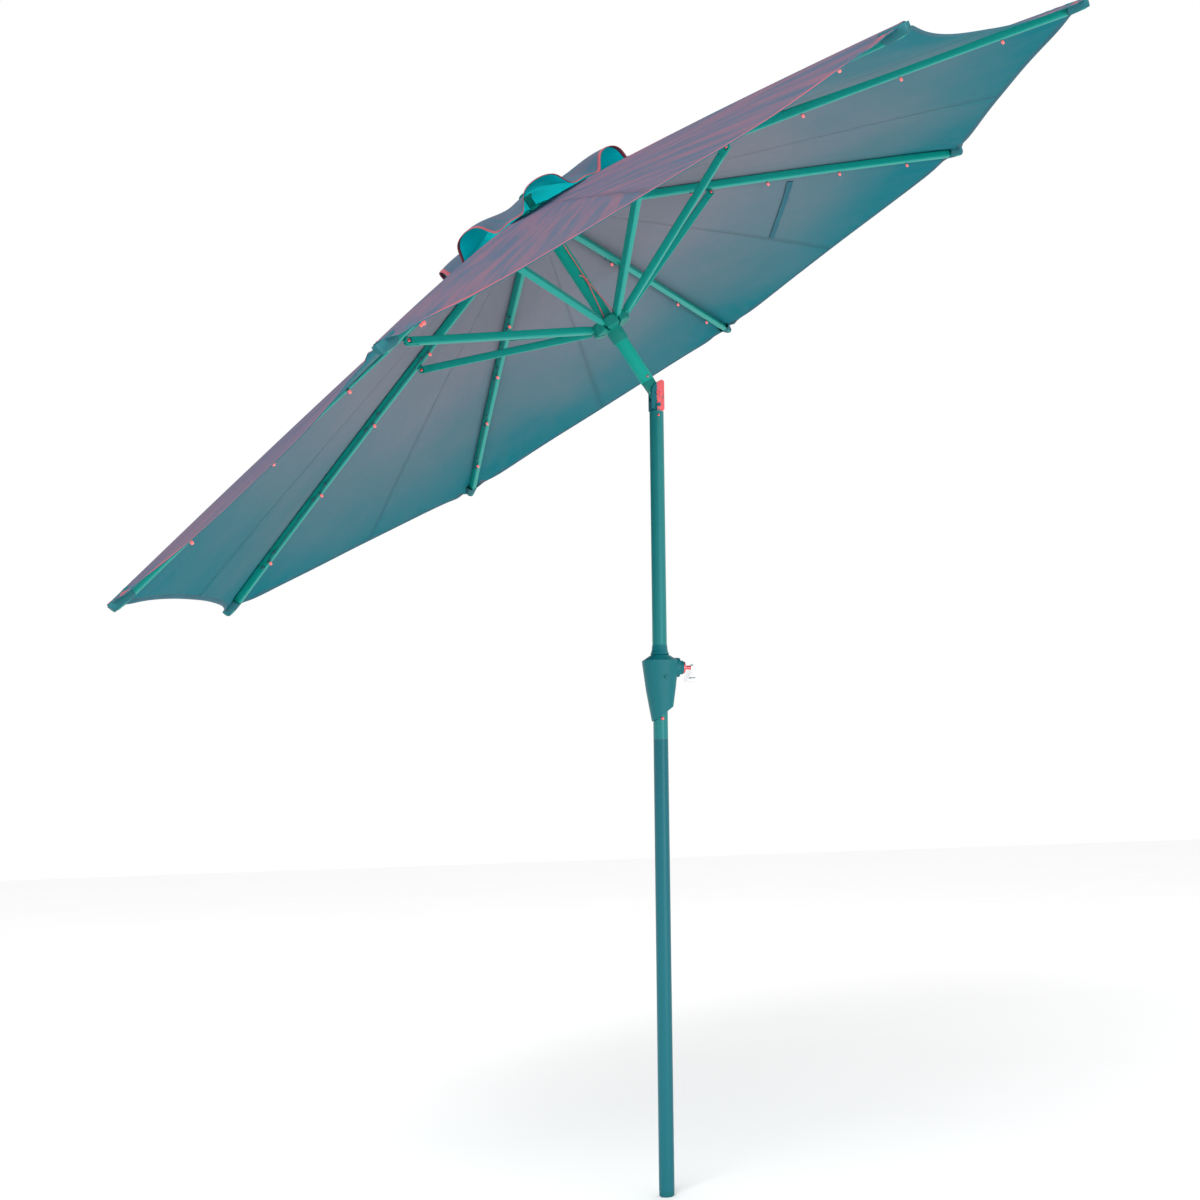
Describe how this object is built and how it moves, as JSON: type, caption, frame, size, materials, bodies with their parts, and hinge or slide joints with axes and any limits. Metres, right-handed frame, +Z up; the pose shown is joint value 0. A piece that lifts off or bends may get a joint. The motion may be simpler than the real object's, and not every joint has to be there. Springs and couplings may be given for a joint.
{
  "type": "patio umbrella",
  "caption": "Open patio umbrella with a tilting mast, crank lift, sliding runner, folding ribs and struts, vented cloth canopy and small lights along the ribs.",
  "frame": {"origin": "bottom centre of the foot plug at the lower end of the pole", "axes": "+Z up the lower pole; the tilted mast leans towards -X, about an axis along Y"},
  "size_m": [2.2716, 2.7294, 2.8397],
  "materials": {
    "pole_paint": "satin paint",
    "frame_paint": "satin paint",
    "housing_plastic": "moulded, slightly glossy",
    "hub_plastic": "moulded",
    "bright_metal": "bright",
    "canopy_cloth": "plain woven polyester",
    "cap_cloth": "plain woven polyester",
    "cord_fibre": "braided cord",
    "light_plastic": "small bulbs, unlit",
    "handle_metal": "polished",
    "plug_plastic": "moulded"
  },
  "bodies": {
    "lower_mast": {"foot_plug": "plug_plastic", "lower_pole": "pole_paint", "pole_connector": "bright_metal", "middle_pole": "pole_paint", "crank_housing": "housing_plastic", "housing_collar": "housing_plastic", "housing_screw": "housing_plastic", "pole_rivet": "bright_metal", "tilt_fork": "bright_metal", "tilt_pin": "bright_metal"},
    "lock_button": {"lock_button": "bright_metal"},
    "tilt_button": {"tilt_button": "housing_plastic"},
    "crank": {"crank_spindle": "bright_metal", "crank_arm": "handle_metal"},
    "crank_knob": {"crank_knob": "handle_metal"},
    "upper_mast": {"tilt_tongue": "hub_plastic", "tongue_screw": "bright_metal", "upper_pole": "pole_paint", "top_hub": "hub_plastic", "crown_wire": "bright_metal", "vent_cap": "cap_cloth", "finial": "hub_plastic", "lift_cord": "cord_fibre"},
    "runner": {"runner": "hub_plastic", "runner_wire": "bright_metal"},
    "rib_1": {"rib_1": "frame_paint", "canopy_1": "canopy_cloth", "lights_1": "light_plastic"},
    "strut_1": {"strut_1": "frame_paint"},
    "rib_2": {"rib_2": "frame_paint", "canopy_2": "canopy_cloth", "lights_2": "light_plastic", "closing_strap": "canopy_cloth"},
    "strut_2": {"strut_2": "frame_paint"},
    "rib_3": {"rib_3": "frame_paint", "canopy_3": "canopy_cloth", "lights_3": "light_plastic"},
    "strut_3": {"strut_3": "frame_paint"},
    "rib_4": {"rib_4": "frame_paint", "canopy_4": "canopy_cloth", "lights_4": "light_plastic"},
    "strut_4": {"strut_4": "frame_paint"},
    "rib_5": {"rib_5": "frame_paint", "canopy_5": "canopy_cloth", "lights_5": "light_plastic"},
    "strut_5": {"strut_5": "frame_paint"},
    "rib_6": {"rib_6": "frame_paint", "canopy_6": "canopy_cloth", "lights_6": "light_plastic"},
    "strut_6": {"strut_6": "frame_paint"},
    "rib_7": {"rib_7": "frame_paint", "canopy_7": "canopy_cloth", "lights_7": "light_plastic"},
    "strut_7": {"strut_7": "frame_paint"},
    "rib_8": {"rib_8": "frame_paint", "canopy_8": "canopy_cloth", "lights_8": "light_plastic"},
    "strut_8": {"strut_8": "frame_paint"}
  },
  "joints": [
    {"name": "tilt", "type": "hinge", "parent": "lower_mast", "child": "upper_mast", "pos_m": [0, 0, 1.92], "axis": [0, -1, 0], "range_deg": [-34, 0]},
    {"name": "tilt_button_press", "type": "slide", "parent": "lower_mast", "child": "tilt_button", "axis": [0, 1, 0], "range_m": [0, 0.0025], "stiffness_N_per_m": 600, "springref_m": -0.003},
    {"name": "lock_button_press", "type": "slide", "parent": "lower_mast", "child": "lock_button", "axis": [0, 1, 0], "range_m": [0, 0.003], "stiffness_N_per_m": 600, "springref_m": -0.003},
    {"name": "runner_slide", "type": "slide", "parent": "upper_mast", "child": "runner", "axis": [0.5592, 0, -0.829], "range_m": [0, 0.105], "deforming": ["canopy_1", "canopy_2", "canopy_3", "canopy_4", "canopy_5", "canopy_6", "canopy_7", "canopy_8", "lift_cord"]},
    {"name": "crank_spin", "type": "hinge", "parent": "lower_mast", "child": "crank", "pos_m": [0.06, 0, 1.222], "axis": [1, 0, 0], "range_deg": [0, 500]},
    {"name": "knob_spin", "type": "hinge", "parent": "crank", "child": "crank_knob", "pos_m": [0.09, 0.05257, 1.19749], "axis": [1, 0, 0], "continuous": true},
    {"name": "rib_1_fold", "type": "hinge", "parent": "upper_mast", "child": "rib_1", "pos_m": [-0.28349, -0.01835, 2.38497], "axis": [0.4908, 0.8059, 0.331], "range_deg": [0, 7.4]},
    {"name": "strut_1_fold", "type": "hinge", "parent": "rib_1", "child": "strut_1", "pos_m": [0.10501, -0.29165, 2.47432], "axis": [0.4908, 0.8059, 0.331], "range_deg": [-13.4, 0]},
    {"name": "rib_2_fold", "type": "hinge", "parent": "upper_mast", "child": "rib_2", "pos_m": [-0.2788, 0.00469, 2.38813], "axis": [-0.1254, 0.9885, -0.0846], "range_deg": [0, 7.4]},
    {"name": "strut_2_fold", "type": "hinge", "parent": "rib_2", "child": "strut_2", "pos_m": [0.17958, 0.07452, 2.52462], "axis": [-0.1254, 0.9885, -0.0846], "range_deg": [-13.4, 0]},
    {"name": "rib_3_fold", "type": "hinge", "parent": "upper_mast", "child": "rib_3", "pos_m": [-0.28899, 0.02498, 2.38126], "axis": [-0.6681, 0.592, -0.4507], "range_deg": [0, 7.4]},
    {"name": "strut_3_fold", "type": "hinge", "parent": "rib_3", "child": "strut_3", "pos_m": [0.01765, 0.39703, 2.41539], "axis": [-0.6681, 0.592, -0.4507], "range_deg": [-13.4, 0]},
    {"name": "rib_4_fold", "type": "hinge", "parent": "upper_mast", "child": "rib_4", "pos_m": [-0.30809, 0.03064, 2.36837], "axis": [-0.8195, -0.1513, -0.5528], "range_deg": [0, 7.4]},
    {"name": "strut_4_fold", "type": "hinge", "parent": "rib_4", "child": "strut_4", "pos_m": [-0.28592, 0.48697, 2.21064], "axis": [-0.8195, -0.1513, -0.5528], "range_deg": [-13.4, 0]},
    {"name": "rib_5_fold", "type": "hinge", "parent": "upper_mast", "child": "rib_5", "pos_m": [-0.32491, 0.01835, 2.35703], "axis": [-0.4908, -0.8059, -0.331], "range_deg": [0, 7.4]},
    {"name": "strut_5_fold", "type": "hinge", "parent": "rib_5", "child": "strut_5", "pos_m": [-0.5533, 0.29165, 2.03029], "axis": [-0.4908, -0.8059, -0.331], "range_deg": [-13.4, 0]},
    {"name": "rib_6_fold", "type": "hinge", "parent": "upper_mast", "child": "rib_6", "pos_m": [-0.32961, -0.00469, 2.35386], "axis": [0.1254, -0.9885, 0.0846], "range_deg": [0, 7.4]},
    {"name": "strut_6_fold", "type": "hinge", "parent": "rib_6", "child": "strut_6", "pos_m": [-0.62786, -0.07452, 1.97999], "axis": [0.1254, -0.9885, 0.0846], "range_deg": [-13.4, 0]},
    {"name": "rib_7_fold", "type": "hinge", "parent": "upper_mast", "child": "rib_7", "pos_m": [-0.31942, -0.02498, 2.36073], "axis": [0.6681, -0.592, 0.4507], "range_deg": [0, 7.4]},
    {"name": "strut_7_fold", "type": "hinge", "parent": "rib_7", "child": "strut_7", "pos_m": [-0.46593, -0.39703, 2.08922], "axis": [0.6681, -0.592, 0.4507], "range_deg": [-13.4, 0]},
    {"name": "rib_8_fold", "type": "hinge", "parent": "upper_mast", "child": "rib_8", "pos_m": [-0.30031, -0.03064, 2.37362], "axis": [0.8195, 0.1513, 0.5528], "range_deg": [0, 7.4]},
    {"name": "strut_8_fold", "type": "hinge", "parent": "rib_8", "child": "strut_8", "pos_m": [-0.16237, -0.48697, 2.29397], "axis": [0.8195, 0.1513, 0.5528], "range_deg": [-13.4, 0]}
  ],
  "couplings": [
    {"joint": "crank_spin", "follows": "runner_slide", "rad_per_m": 83},
    {"joint": "rib_1_fold", "follows": "runner_slide", "rad_per_m": 1.2281},
    {"joint": "strut_1_fold", "follows": "runner_slide", "rad_per_m": -2.2218},
    {"joint": "rib_2_fold", "follows": "runner_slide", "rad_per_m": 1.2281},
    {"joint": "strut_2_fold", "follows": "runner_slide", "rad_per_m": -2.2218},
    {"joint": "rib_3_fold", "follows": "runner_slide", "rad_per_m": 1.2281},
    {"joint": "strut_3_fold", "follows": "runner_slide", "rad_per_m": -2.2218},
    {"joint": "rib_4_fold", "follows": "runner_slide", "rad_per_m": 1.2281},
    {"joint": "strut_4_fold", "follows": "runner_slide", "rad_per_m": -2.2218},
    {"joint": "rib_5_fold", "follows": "runner_slide", "rad_per_m": 1.2281},
    {"joint": "strut_5_fold", "follows": "runner_slide", "rad_per_m": -2.2218},
    {"joint": "rib_6_fold", "follows": "runner_slide", "rad_per_m": 1.2281},
    {"joint": "strut_6_fold", "follows": "runner_slide", "rad_per_m": -2.2218},
    {"joint": "rib_7_fold", "follows": "runner_slide", "rad_per_m": 1.2281},
    {"joint": "strut_7_fold", "follows": "runner_slide", "rad_per_m": -2.2218},
    {"joint": "rib_8_fold", "follows": "runner_slide", "rad_per_m": 1.2281},
    {"joint": "strut_8_fold", "follows": "runner_slide", "rad_per_m": -2.2218}
  ]
}
